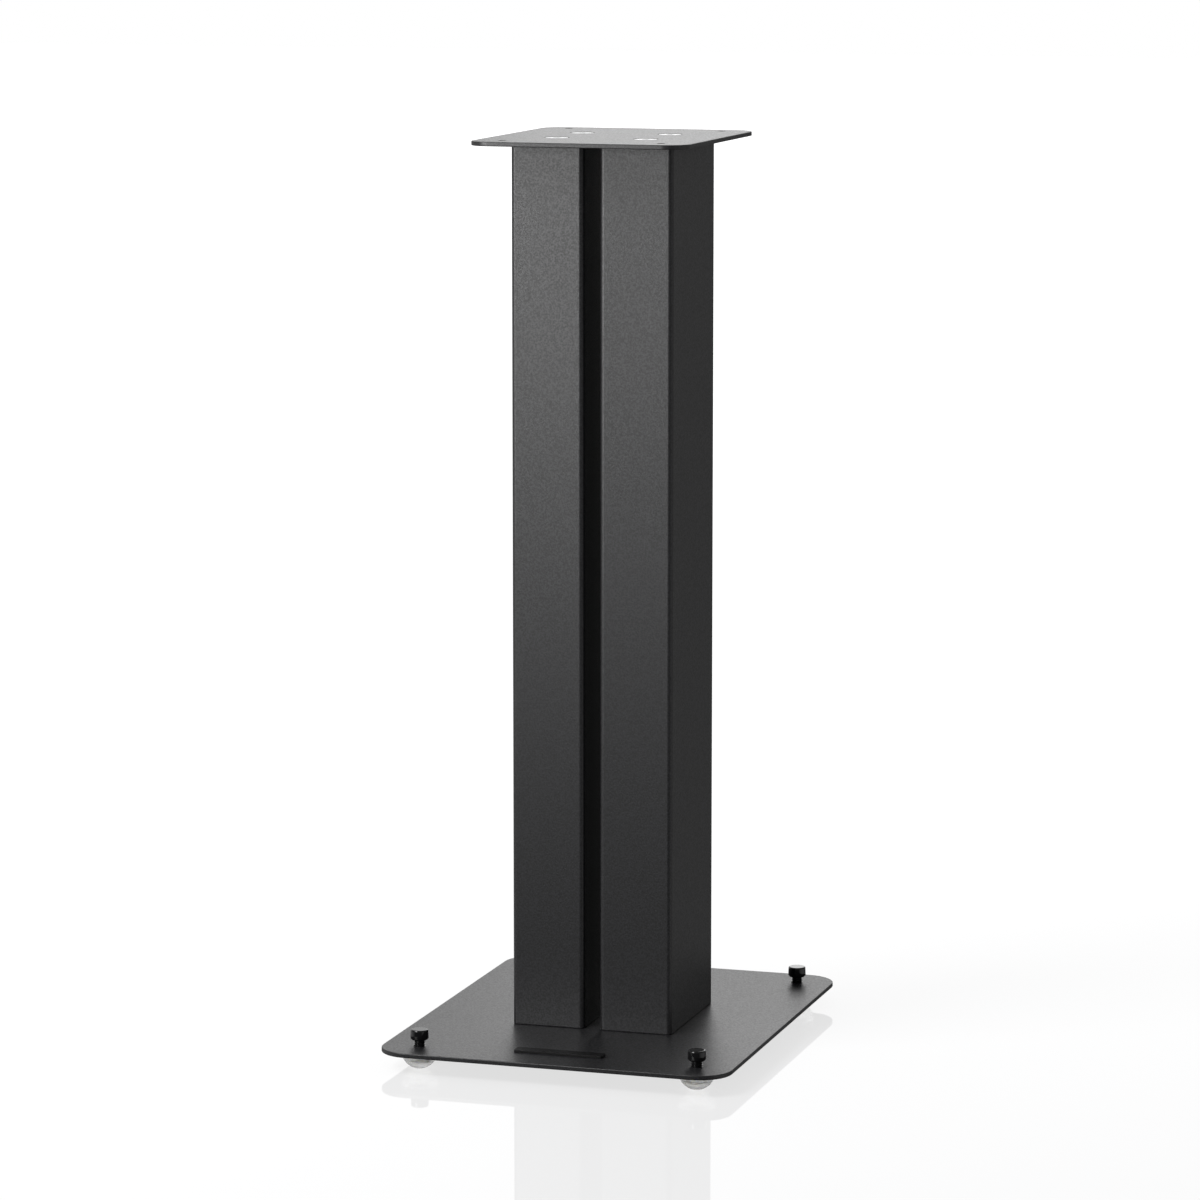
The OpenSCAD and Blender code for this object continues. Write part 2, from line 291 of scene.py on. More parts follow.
def new_material(name):
    """Make a node material, or clear the one of this name."""
    material = bpy.data.materials.get(name) or bpy.data.materials.new(name)
    material.use_nodes = True
    material.node_tree.nodes.clear()
    return material, material.node_tree


def finish_material(material, tree, values, rough, bump, tint=None):
    """End a material with its shader, fed by its roughness, bumps and any tint, and its output."""
    links = {"Roughness": rough.outputs["Result"], "Normal": bump.outputs["Normal"]}
    if tint is not None:
        links["Base Color"] = tint.outputs[2]
    shader = add_node(tree, "ShaderNodeBsdfPrincipled", values, links)
    add_node(tree, "ShaderNodeOutputMaterial", links={"Surface": shader.outputs["BSDF"]})
    return material


def seen_rays(tree):
    """The rays' node, and a level of 1 for those from the camera and those that go through the pads."""
    path = add_node(tree, "ShaderNodeLightPath")
    seen = add_node(
        tree, "ShaderNodeMath",
        links={0: path.outputs["Is Camera Ray"], 1: path.outputs["Is Transmission Ray"]},
        operation="MAXIMUM")
    return path, seen.outputs[0]


def turned_place(tree, across, along):
    """Distance from the nearest of four upright axes, and height, for marks that a lathe leaves."""
    place = add_node(tree, "ShaderNodeTexCoord").outputs["Object"]
    mirrored = add_node(tree, "ShaderNodeVectorMath", links={0: place}, operation="ABSOLUTE")
    centred = add_node(
        tree, "ShaderNodeVectorMath", {1: (across, along, 0)}, {0: mirrored.outputs[0]}, operation="SUBTRACT")
    flat = add_node(
        tree, "ShaderNodeVectorMath", {1: (1, 1, 0)}, {0: centred.outputs[0]}, operation="MULTIPLY")
    radius = add_node(tree, "ShaderNodeVectorMath", links={0: flat.outputs[0]}, operation="LENGTH")
    height = add_node(tree, "ShaderNodeSeparateXYZ", links={0: place})
    ring = add_node(
        tree, "ShaderNodeCombineXYZ", links={"X": radius.outputs["Value"], "Y": height.outputs["Z"]})
    return place, ring.outputs[0]


def powder_coated_steel(colours):
    """Sheet and tube of mild steel, sprayed with fine black powder and baked.

    The eye gets a satin black with a broad, soft reflection, a fine grain in it, and a slight
    waviness where the powder flowed.
    """
    material, tree = new_material("Mild_steel_powder_coated_satin")
    place = add_node(tree, "ShaderNodeTexCoord").outputs["Object"]
    # The powder's grain is about 0.3 mm, finer than a pixel here, so it is drawn at 1.1 mm
    grain = add_node(tree, "ShaderNodeTexNoise", {"Scale": 1 / (1.1 * MM), "Detail": 1.0}, {"Vector": place})
    # The powder flows into waves of about 1.4 mm before it sets
    flow = add_node(tree, "ShaderNodeTexNoise", {"Scale": 1 / (1.4 * MM), "Detail": 1.0}, {"Vector": place})
    # The coat is thicker here and thinner there, in patches of about 70 mm
    patch = add_node(tree, "ShaderNodeTexNoise", {"Scale": 1 / (70 * MM), "Detail": 3.0}, {"Vector": place})
    # Sockets 6 and 7 of a Mix node are its two colours, and output 2 is the mixed one
    coat = add_node(
        tree, "ShaderNodeMix", {6: colours.powder, 7: colours.powder_thin},
        {0: patch.outputs["Fac"]}, data_type="RGBA")
    # Painted highlight: the tops of the grains are painted a lighter black, for the light that they catch
    # more than the hollows between them
    tops = add_node(
        tree, "ShaderNodeMapRange", {"From Min": 0.35, "From Max": 0.65}, {"Value": grain.outputs["Fac"]})
    tint = add_node(
        tree, "ShaderNodeMix", {7: colours.powder_grain_highlight}, {0: tops.outputs["Result"], 6: coat.outputs[2]},
        data_type="RGBA")
    rough = add_node(
        tree, "ShaderNodeMapRange", {"From Min": 0.35, "From Max": 0.65, "To Min": 0.44, "To Max": 0.36},
        {"Value": grain.outputs["Fac"]})
    waves = add_node(
        tree, "ShaderNodeBump", {"Strength": 0.4, "Distance": 0.06 * MM}, {"Height": flow.outputs["Fac"]})
    bump = add_node(
        tree, "ShaderNodeBump", {"Strength": 0.5, "Distance": 0.08 * MM},
        {"Height": grain.outputs["Fac"], "Normal": waves.outputs["Normal"]})
    return finish_material(material, tree, {"IOR": 1.5}, rough, bump, tint)


def lacquered_steel(colours):
    """Free-cutting steel, turned and then dipped in black lacquer.

    The eye gets a gloss black with small sharp highlights, in which the tool's rings just show.
    """
    material, tree = new_material("Turned_steel_black_lacquer")
    place, ring = turned_place(tree, foot_middle().x, foot_middle().y)
    # The tool's feed is about 0.1 mm, too fine to show, so the rings are drawn 0.35 mm apart
    marks = add_node(tree, "ShaderNodeTexNoise", {"Scale": 1 / (0.35 * MM), "Detail": 1.0}, {"Vector": ring})
    # Dust and handling dull the gloss in patches of about 3 mm
    smudge = add_node(tree, "ShaderNodeTexNoise", {"Scale": 1 / (3 * MM), "Detail": 3.0}, {"Vector": place})
    rough = add_node(
        tree, "ShaderNodeMapRange", {"From Min": 0.35, "From Max": 0.7, "To Min": 0.05, "To Max": 0.10},
        {"Value": smudge.outputs["Fac"]})
    bump = add_node(
        tree, "ShaderNodeBump", {"Strength": 0.15, "Distance": 0.02 * MM}, {"Height": marks.outputs["Fac"]})
    return finish_material(material, tree, {"Base Color": colours.screw, "IOR": 1.5}, rough, bump)


def zinc_plated_steel(colours, bolts):
    """Headed steel bolts with a bright zinc plate.

    The eye gets a pale cool metal, soft rather than mirror-like, with faint rings on the face and
    duller spots where a key has been.
    """
    material, tree = new_material("Headed_steel_bright_zinc_plated")
    place, ring = turned_place(tree, column_middle(), bolts.spacing / 2)
    # Rings of the heading die's turned face, 0.2 mm apart, drawn at 0.5 mm so that they show
    marks = add_node(tree, "ShaderNodeTexNoise", {"Scale": 1 / (0.5 * MM), "Detail": 1.0}, {"Vector": ring})
    # The plate dulls in spots of about 2 mm
    spots = add_node(tree, "ShaderNodeTexNoise", {"Scale": 1 / (2 * MM), "Detail": 3.0}, {"Vector": place})
    tint = add_node(
        tree, "ShaderNodeMix", {6: colours.zinc, 7: colours.zinc_dull},
        {0: spots.outputs["Fac"]}, data_type="RGBA")
    rough = add_node(
        tree, "ShaderNodeMapRange", {"From Min": 0.3, "From Max": 0.7, "To Min": 0.24, "To Max": 0.40},
        {"Value": spots.outputs["Fac"]})
    bump = add_node(
        tree, "ShaderNodeBump", {"Strength": 0.2, "Distance": 0.03 * MM}, {"Height": marks.outputs["Fac"]})
    return finish_material(material, tree, {"Metallic": 1.0}, rough, bump, tint)


def sawn_steel(colours):
    """Cold drawn flat bar, sawn to length, drilled and tapped, left bare.

    The eye gets a grey metal streaked along the way the bar was drawn.
    """
    material, tree = new_material("Cold_drawn_steel_bar_sawn")
    place = add_node(tree, "ShaderNodeTexCoord").outputs["Object"]
    # Drawing streaks are 0.3 mm wide and 12 mm long, and run front to back
    stretched = add_node(
        tree, "ShaderNodeVectorMath", {1: (1 / (0.3 * MM), 1 / (12 * MM), 1 / (0.3 * MM))}, {0: place},
        operation="MULTIPLY")
    streaks = add_node(
        tree, "ShaderNodeTexNoise", {"Scale": 1.0, "Detail": 3.0}, {"Vector": stretched.outputs[0]})
    rough = add_node(
        tree, "ShaderNodeMapRange", {"From Min": 0.3, "From Max": 0.7, "To Min": 0.30, "To Max": 0.50},
        {"Value": streaks.outputs["Fac"]})
    bump = add_node(
        tree, "ShaderNodeBump", {"Strength": 0.3, "Distance": 0.03 * MM}, {"Height": streaks.outputs["Fac"]})
    return finish_material(material, tree, {"Base Color": colours.steel, "Metallic": 1.0}, rough, bump)


def moulded_black_abs(colours):
    """ABS, moulded in a finely eroded tool.

    The eye gets a deep satin black, smoother than the powder coat beside it.
    """
    material, tree = new_material("ABS_moulded_satin_black")
    place = add_node(tree, "ShaderNodeTexCoord").outputs["Object"]
    # Spark erosion leaves pits of about 0.1 mm, drawn at 0.5 mm so that they show
    pits = add_node(tree, "ShaderNodeTexNoise", {"Scale": 1 / (0.5 * MM), "Detail": 2.0}, {"Vector": place})
    rough = add_node(
        tree, "ShaderNodeMapRange", {"From Min": 0.3, "From Max": 0.7, "To Min": 0.48, "To Max": 0.60},
        {"Value": pits.outputs["Fac"]})
    bump = add_node(
        tree, "ShaderNodeBump", {"Strength": 0.2, "Distance": 0.03 * MM}, {"Height": pits.outputs["Fac"]})
    values = {"Base Color": colours.badge, "IOR": 1.54, "Specular IOR Level": 0.2}
    return finish_material(material, tree, values, rough, bump)


def moulded_nylon(colours):
    """Nylon, moulded in its natural colour.

    The eye gets a warm off-white that lets a little light in at its thin lip.
    """
    material, tree = new_material("Nylon_moulded_natural")
    place = add_node(tree, "ShaderNodeTexCoord").outputs["Object"]
    # The tool's polish shows as a mottle of about 0.8 mm
    mottle = add_node(tree, "ShaderNodeTexNoise", {"Scale": 1 / (0.8 * MM), "Detail": 2.0}, {"Vector": place})
    rough = add_node(
        tree, "ShaderNodeMapRange", {"From Min": 0.3, "From Max": 0.7, "To Min": 0.40, "To Max": 0.55},
        {"Value": mottle.outputs["Fac"]})
    bump = add_node(
        tree, "ShaderNodeBump", {"Strength": 0.15, "Distance": 0.03 * MM}, {"Height": mottle.outputs["Fac"]})
    values = {
        "Base Color": colours.nylon, "IOR": 1.53, "Subsurface Weight": 0.3,
        "Subsurface Radius": (1.0, 0.9, 0.7), "Subsurface Scale": 0.8 * MM}
    return finish_material(material, tree, values, rough, bump)


def moulded_silicone(colours):
    """Translucent silicone rubber, moulded.

    The eye gets a milky dome: light comes through it, it darkens where its side turns away, and
    the seat inside shows as a pale blur.
    """
    material, tree = new_material("Silicone_rubber_moulded_translucent")
    place = add_node(tree, "ShaderNodeTexCoord").outputs["Object"]
    # Moulded rubber has a skin that waves at about 1.5 mm
    sway = add_node(tree, "ShaderNodeTexNoise", {"Scale": 1 / (1.5 * MM), "Detail": 2.0}, {"Vector": place})
    rough = add_node(
        tree, "ShaderNodeMapRange", {"From Min": 0.3, "From Max": 0.7, "To Min": 0.74, "To Max": 0.84},
        {"Value": sway.outputs["Fac"]})
    bump = add_node(
        tree, "ShaderNodeBump", {"Strength": 0.1, "Distance": 0.05 * MM}, {"Height": sway.outputs["Fac"]})
    values = {
        "Base Color": colours.silicone, "IOR": 1.3, "Transmission Weight": 1.0, "Subsurface Weight": 1.0,
        "Subsurface Radius": (1.0, 1.0, 0.95), "Subsurface Scale": 5 * MM}
    return finish_material(material, tree, values, rough, bump)


def polished_white_sheet(colours, own_level):
    """Acrylic sheet, cast and polished, under the stand.

    The eye gets a white that stays white up to the backdrop, a faint mirror image of the stand
    and its shadow. A light of its own lifts the sheet to white, for the camera and for what is
    seen through the pads.
    """
    material, tree = new_material("Acrylic_cast_sheet_white")
    own_light = add_node(
        tree, "ShaderNodeMath", {1: own_level}, {0: seen_rays(tree)[1]}, operation="MULTIPLY")
    shader = add_node(
        tree, "ShaderNodeBsdfPrincipled",
        {"Base Color": colours.floor, "Roughness": 0.03, "IOR": 1.19, "Emission Color": (1, 1, 1, 1)},
        {"Emission Strength": own_light.outputs[0]})
    add_node(tree, "ShaderNodeOutputMaterial", links={"Surface": shader.outputs["BSDF"]})
    return material


def foot_middle():
    """Middle of the front right foot, seen from above. The other feet mirror it."""
    low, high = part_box("front_right_foot_screw")
    return Vector(((low.x + high.x) / 2, abs(low.y + high.y) / 2, 0))


def column_middle():
    """Distance of a column's middle from the stand's middle."""
    low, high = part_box("right_column")
    return (low.x + high.x) / 2


def corners(x, y):
    """The four points that mirror (x, y) in the stand's middle."""
    return [(side * x, end * y) for side in (-1, 1) for end in (-1, 1)]


def bend(u, v, radius, start, end, steps=5):
    """Points of a round stretch about (u, v), from one angle to another in degrees."""
    angles = [radians(start + (end - start) * i / steps) for i in range(steps + 1)]
    return [(u + radius * cos(a), v + radius * sin(a)) for a in angles]


def rounded_outline(width, depth, radius, hollow):
    """Points round a rectangle with round corners.

    The sides of rolled tube are hollow, with points along them. For plain sides hollow is None.
    """
    if 2 * radius > min(width, depth) - 4 * HOLD:
        raise ValueError("The corner radius is too large for its plate or tube")
    points = []
    for quarter in range(4):
        half_u, half_v = (width / 2, depth / 2) if quarter % 2 == 0 else (depth / 2, width / 2)
        reach = half_u - radius
        side = bend(reach, half_v - radius, radius, 0, 90, steps=8)
        spots = [HOLD / (2 * reach), 1 - HOLD / (2 * reach)]
        if hollow is not None:
            spots[1:1] = [i / 8 for i in range(1, 8)]
        side += [(reach * (1 - 2 * t), half_v - (hollow or 0) * 4 * t * (1 - t)) for t in spots]
        turn_c, turn_s = ((1, 0), (0, 1), (-1, 0), (0, -1))[quarter]
        points += [(u * turn_c - v * turn_s, u * turn_s + v * turn_c) for u, v in side]
    return points


def edge_section(low, high, edge):
    """Inset and height of the points down a plate's side, with both of its edges rounded."""
    return [
        (edge + HOLD, low),
        *bend(edge, low + edge, edge, 270, 180),
        (0, low + edge + HOLD),
        (0, high - edge - HOLD),
        *bend(edge, high - edge, edge, 180, 90),
        (edge + HOLD, high),
    ]


def sink_section(thickness, mouth, edge):
    """Radius and depth of the points down a right-angled countersink, from its mouth."""
    tangent = edge * (2 ** 0.5 - 1)
    # The countersink ends in a short straight land
    land = 0.15 * MM
    narrow = mouth - thickness + land
    angles = [pi / 16 * i for i in range(5)]
    rounded = [(mouth + tangent - edge * sin(a), edge * (1 - cos(a))) for a in angles]
    return [
        (mouth + tangent + HOLD, 0),
        *rounded,
        (narrow, thickness - land),
        (narrow, thickness),
        (narrow + HOLD, thickness),
    ]


def upright(x, y, base=0.0, up=1):
    """Places the points of a turned piece, given as radius, angle and height, about an upright axis.

    With up = -1 the piece is turned over, so that a right-hand thread stays one.
    """
    def spot(radius, angle, height):
        return x + radius * cos(angle), y + up * radius * sin(angle), base + up * height
    return spot


def skin(mesh, rings, closed=False):
    """Join a row of rings with faces. A ring is one point or as many as the others have."""
    rows = [[mesh.verts.new(point) for point in ring] for ring in rings]
    for low, high in zip(rows, rows[1:] + rows[:1] if closed else rows[1:]):
        for i in range(max(len(low), len(high))):
            j = i + 1
            around = (low[i % len(low)], low[j % len(low)], high[j % len(high)], high[i % len(high)])
            mesh.faces.new(dict.fromkeys(around))
    return rows


def turn(mesh, spot, section, segments=ROUND):
    """Turn a section of radius and height about an axis."""
    rings = []
    for radius, height in section:
        count = segments if radius > 0 else 1
        rings.append([spot(radius, 2 * pi * i / count, height) for i in range(count)])
    return skin(mesh, rings)


def fill(mesh, loops):
    """Close a flat face. The first loop is its outline and the others are holes in it."""
    edges = [mesh.edges.get(pair) for loop in loops for pair in zip(loop, loop[1:] + loop[:1])]
    bmesh.ops.triangle_fill(mesh, use_beauty=True, use_dissolve=False, edges=edges)


def cut_thread(mesh, spot, sizes, low, high, root, segments=ROUND):
    """A right-hand metric thread between two heights, run out to the root's radius at both."""
    # Places along one pitch, and the share of the thread's depth there: crest, flank, root, flank
    form = ((1 / 16, 0), (7 / 32, 0.5), (3 / 8, 1), (1 / 2, 1), (5 / 8, 1), (25 / 32, 0.5), (15 / 16, 0))
    crest, pitch = sizes.thread / 2, sizes.pitch
    depth = THREAD_SHARE * pitch
    turns = int((high - low) / pitch) + 2
    rows = []
    for whole in range(-2, turns):
        for place, share in form:
            row = []
            for i in range(segments):
                height = min(max(low + (whole + place + i / segments) * pitch, low), high)
                most = min(crest, root + height - low, root + high - height)
                least = max(root - height + low, root - high + height)
                radius = max(min(crest - share * depth, most), least)
                row.append(mesh.verts.new(spot(radius, 2 * pi * i / segments, height)))
            rows.append(row)
    step = len(form)
    last = len(rows) - 1
    for j in range(last):
        for i in range(segments - 1):
            mesh.faces.new((rows[j][i], rows[j][i + 1], rows[j + 1][i + 1], rows[j + 1][i]))
        after, above = min(j + step, last), min(j + 1 + step, last)
        seam = (rows[j][-1], rows[after][0], rows[above][0], rows[j + 1][-1])
        mesh.faces.new(dict.fromkeys(seam))


def box_rings(low, high, rows):
    """Rings round a box's upright axis. Each row is an inset, a height, a corner radius and a hollow."""
    middle = (low + high) / 2
    rings = []
    for inset, height, corner, hollow in rows:
        width, depth = high.x - low.x - 2 * inset, high.y - low.y - 2 * inset
        outline = rounded_outline(width, depth, corner, hollow)
        rings.append([(middle.x + x, middle.y + y, height) for x, y in outline])
    return rings


def plate(mesh, box, corner, edge, holes=()):
    """A flat plate with round corners. Each hole is its middle and its section of radius and height."""
    low, high = box
    sides = [
        (inset, height, corner - inset, None) for inset, height in edge_section(low.z, high.z, edge)]
    rows = skin(mesh, box_rings(low, high, sides))
    lower, upper = [rows[0]], [rows[-1]]
    for (x, y), section in holes:
        hole = turn(mesh, upright(x, y), section, SMALL_ROUND)
        lower.append(hole[0])
        upper.append(hole[-1])
    fill(mesh, lower)
    fill(mesh, upper)


def countersunk_bolt(mesh, spot, length, sizes):
    """A countersunk bolt with a hexagon socket. Heights run from its face along its shank."""
    angles = [2 * pi * i / SMALL_ROUND for i in range(SMALL_ROUND)]
    hexagon = [sizes.socket / 2 / cos((a + pi / 6) % (pi / 3) - pi / 6) for a in angles]
    head = sizes.head / 2
    under = sizes.rim + head - sizes.thread / 2
    # Radius of the thread's root, and the height over which the shank narrows to it
    root, run_in = 3.3 * MM, 0.7 * MM
    # Width and depth of the chamfer at the socket's mouth
    mouth, mouth_depth = 0.15 * MM, 0.3 * MM
    flat = max(hexagon) + mouth
    # The socket's bottom dips to its middle: shares of its width, and heights in millimetres
    dip = ((0.4, 0.1), (0.9, 0.4), (1, 0.45))
    # Insets and depths, in millimetres, of the points round the head's worn edge
    worn = ((0.4, 0), (0.15, 0), (0.05, 0.04), (0.02, 0.14))
    worn = [(head - inset * MM, depth * MM) for inset, depth in worn]
    rings = [[spot(0, 0, sizes.socket_depth)]]
    for share, height in dip:
        depth = sizes.socket_depth - height * MM
        rings.append([spot(share * r, a, depth) for r, a in zip(hexagon, angles)])
    rings.append([spot(r, a, mouth_depth) for r, a in zip(hexagon, angles)])
    section = [
        (flat, 0), (flat + HOLD, 0), *worn, (worn[-1][0], sizes.rim), (sizes.thread / 2, under),
        (root, under + run_in),
    ]
    rings += [[spot(r, a, h) for a in angles] for r, h in section]
    skin(mesh, rings)
    cut_thread(mesh, spot, sizes, under + run_in, length, root, SMALL_ROUND)
    turn(mesh, spot, [(root, length), (0, length)], SMALL_ROUND)


def make_object(name, mesh, material):
    """Turn a bmesh into an object of one material, in place of the one of this name."""
    old = bpy.data.objects.get(name)
    if old:
        bpy.data.objects.remove(old)
    data = bpy.data.meshes.new(name)
    mesh.to_mesh(data)
    mesh.free()
    data.materials.append(material)
    made = bpy.data.objects.new(name, data)
    bpy.context.scene.collection.objects.link(made)
    return made


def finish_piece(name, mesh, material, body, slot, *nodes):
    """Turn a bmesh into a piece: smooth with crisp edges, dressed, on its body, in place of its nodes."""
    bmesh.ops.remove_doubles(mesh, verts=mesh.verts, dist=MERGE)
    bmesh.ops.recalc_face_normals(mesh, faces=mesh.faces)
    loose = [edge for edge in mesh.edges if not edge.is_manifold]
    if loose:
        raise ValueError(f"{name} isn't closed at {len(loose)} edges: check its sizes")
    for face in mesh.faces:
        face.smooth = True
    for edge in mesh.edges:
        edge.smooth = edge.calc_face_angle() < CRISP
    piece = make_object(name, mesh, material)
    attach(piece, body)
    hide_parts(*nodes)


def dress_node(node, material):
    """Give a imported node, whose shape is right, its finish."""
    piece = frame["nodes"][node]
    piece.data.materials.clear()
    piece.data.materials.append(material)


def lay_floor(scene):
    """Lay the sheet that the stand is on. It runs on far past the camera's view."""
    # Distance in metres from the stand's middle to the sheet's sides
    reach = 15
    mesh = bmesh.new()
    square = ((-1, -1), (1, -1), (1, 1), (-1, 1))
    mesh.faces.new([mesh.verts.new((x * reach, y * reach, 0)) for x, y in square])
    sheet = polished_white_sheet(scene.stand_colours, scene.stand_studio.floor_light)
    floor = make_object("floor_sheet", mesh, sheet)
    # The stand's black faces mirror the dim room beyond the sheet, so the sheet is left out of gloss
    floor.visible_glossy = False
    return floor


def light_room(scene):
    """Light the room softly from all round, white where the camera looks past the stand.

    For gloss, a white backdrop stands behind the stand and the rest of the room is dim. The floor
    is darkest in front and palest at the sides. So the plates shine and the slot stays dark.
    """
    world = bpy.data.worlds.new("Studio_room")
    scene.world = world
    world.use_nodes = True
    tree = world.node_tree
    tree.nodes.clear()
    path, seen = seen_rays(tree)
    way = add_node(tree, "ShaderNodeTexCoord").outputs["Generated"]
    parts = add_node(tree, "ShaderNodeSeparateXYZ", links={0: way})
    # Direction of the backdrop's middle. The backdrop is full white to 30 degrees from it, and has
    # faded into the room at 46
    backdrop = (-0.416, 0.893, 0.174)
    behind = add_node(tree, "ShaderNodeVectorMath", {1: backdrop}, {0: way}, operation="DOT_PRODUCT")
    paper = add_node(
        tree, "ShaderNodeMapRange", {"From Min": 0.70, "From Max": 0.87, "To Min": 0.25, "To Max": 1.0},
        {"Value": behind.outputs["Value"]})
    # The floor's level rises from front to back, and is highest at the sides
    front = add_node(
        tree, "ShaderNodeMapRange", {"From Min": -0.5, "From Max": 0.5, "To Min": 0.08, "To Max": 0.17},
        {"Value": parts.outputs["Y"]})
    beside = add_node(tree, "ShaderNodeMath", links={0: parts.outputs["X"]}, operation="ABSOLUTE")
    low = add_node(
        tree, "ShaderNodeMapRange", {"From Min": 0.65, "From Max": 0.95, "To Max": 0.60},
        {"Value": beside.outputs[0], "To Min": front.outputs["Result"]})
    # The floor gives way to the room a little above the horizon
    around = add_node(
        tree, "ShaderNodeMapRange", {"From Min": 0.0, "From Max": 0.04},
        {"Value": parts.outputs["Z"], "To Min": low.outputs["Result"], "To Max": paper.outputs["Result"]})
    # Sockets 2 and 3 of a Mix node are its two values
    glossy = add_node(
        tree, "ShaderNodeMix", {2: scene.stand_studio.room_light},
        {0: path.outputs["Is Glossy Ray"], 3: around.outputs["Result"]})
    level = add_node(tree, "ShaderNodeMix", {3: 1.0}, {0: seen, 2: glossy.outputs[0]})
    light = add_node(
        tree, "ShaderNodeBackground", {"Color": (1, 1, 1, 1)}, {"Strength": level.outputs[0]})
    add_node(tree, "ShaderNodeOutputWorld", links={"Surface": light.outputs[0]})


def set_up(scene, name, data, place, forward):
    """Put a lamp or the camera in its place, facing forward."""
    made = bpy.data.objects.new(name, data)
    made.location = place
    made.rotation_mode = "QUATERNION"
    made.rotation_quaternion = forward.to_track_quat("-Z", "Y")
    scene.collection.objects.link(made)
    return made


def hang_lamps(scene, floor):
    """Hang the three softboxes, which the camera doesn't see."""
    studio = scene.stand_studio
    # The floor would mirror the edges of the lamps, so it is lit by the high one alone
    floor_apart = bpy.data.collections.new("Floor_apart")
    floor_apart.objects.link(floor)
    floor_apart.collection_objects[0].light_linking.link_state = "EXCLUDE"
    # Name, place, aim, width, height, power and whether it lights the floor
    lamps = (
        ("Softbox", (-0.66, -1.15, 0.55), (0, 0, 0.40), 0.6, 0.6, studio.softbox_power, False),
        ("Top_softbox", (-0.90, -1.00, 1.50), (0, 0, 0.30), 0.8, 0.8, studio.top_power, True),
        ("Backdrop_lamp", (-0.37, 2.50, 1.60), (0, 0, 0.30), 1.2, 2.2, studio.backdrop_power, False),
    )
    for name, place, aim, width, height, power, on_floor in lamps:
        lamp = bpy.data.lights.new(name, "AREA")
        lamp.shape = "RECTANGLE"
        lamp.size = width
        lamp.size_y = height
        lamp.energy = power
        softbox = set_up(scene, name, lamp, place, Vector(aim) - Vector(place))
        softbox.visible_camera = False
        softbox.visible_transmission = False
        if not on_floor:
            softbox.light_linking.receiver_collection = floor_apart


def aim_camera(scene):
    """Set up the camera in the place and direction that the edges in the photograph give."""
    place = (0.96066, -3.12147, 0.80334)
    forward = Vector((-0.29333, 0.94376, -0.15257))
    lens = bpy.data.cameras.new("Studio_camera")
    lens.lens = scene.stand_studio.focal_length
    lens.sensor_width = 36
    scene.camera = set_up(scene, "Studio_camera", lens, place, forward)


class STAND_OT_stage(bpy.types.Operator):
    """Lay the pale floor, light the room, hang the softboxes and set up the camera"""
    bl_idname = "stand.stage"
    bl_label = "Floor, light and camera"

    def execute(self, context):
        scene = context.scene
        scene.view_settings.view_transform = "Standard"
        floor = lay_floor(scene)
        light_room(scene)
        hang_lamps(scene, floor)
        aim_camera(scene)
        return {"FINISHED"}


class STAND_OT_plates(bpy.types.Operator):
    """Make the base plate and the top plate with their holes and countersinks"""
    bl_idname = "stand.plates"
    bl_label = "Base plate and top plate"

    def execute(self, context):
        scene = context.scene
        sizes = scene.stand_plates
        coat = powder_coated_steel(scene.stand_colours)
        edge = sizes.edge_round
        bolts = corners(column_middle(), scene.stand_bolts.spacing / 2)

        nuts = corners(foot_middle().x, foot_middle().y)
        fixings = corners(sizes.fixing_across / 2, sizes.fixing_along / 2)
        # Node, corner radius, its plain holes' middles, diameter and rounding, and the side of its sinks
        plates = (
            ("base_plate", sizes.base_corner, nuts, sizes.nut_hole, sizes.nut_round, "below"),
            ("top_plate", sizes.top_corner, fixings, sizes.fixing_hole, sizes.fixing_round, "above"),
        )
        for node, corner, middles, diameter, rounding, sink_side in plates:
            low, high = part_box(node)
            rims = edge_section(low.z, high.z, rounding)
            plain = [(diameter / 2 + inset, height) for inset, height in rims]
            funnel = sink_section(high.z - low.z, sizes.sink / 2, edge)
            if sink_side == "below":
                sink = [(radius, low.z + depth) for radius, depth in funnel]
            else:
                sink = [(radius, high.z - depth) for radius, depth in reversed(funnel)]
            holes = [(middle, plain) for middle in middles] + [(middle, sink) for middle in bolts]
            mesh = bmesh.new()
            plate(mesh, (low, high), corner, edge, holes)
            finish_piece(f"{node}_coated", mesh, coat, "stand", "powder_coat", node)
        return {"FINISHED"}


class STAND_OT_columns(bpy.types.Operator):
    """Make the two columns of rolled box tube"""
    bl_idname = "stand.columns"
    bl_label = "Columns"

    def execute(self, context):
        scene = context.scene
        sizes = scene.stand_columns
        coat = powder_coated_steel(scene.stand_colours)
        for side in SIDES:
            low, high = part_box(f"{side}_column")
            walls = [
                (inset, height, sizes.corner - inset, sizes.hollow)
                for inset, height in edge_section(low.z, high.z, sizes.end_round)]
            walls += [(sizes.wall, height, sizes.inner_corner, 0) for height in (high.z, low.z)]
            mesh = bmesh.new()
            skin(mesh, box_rings(low, high, walls), closed=True)
            finish_piece(f"{side}_column_tube", mesh, coat, "stand", "powder_coat", f"{side}_column")
        return {"FINISHED"}


class STAND_OT_end_blocks(bpy.types.Operator):
    """Finish the tapped blocks that close the columns' ends"""
    bl_idname = "stand.end_blocks"
    bl_label = "End blocks"

    def execute(self, context):
        bar = sawn_steel(context.scene.stand_colours)
        for side in SIDES:
            for end in ("top", "bottom"):
                dress_node(f"{side}_column_{end}_block", bar)
        return {"FINISHED"}


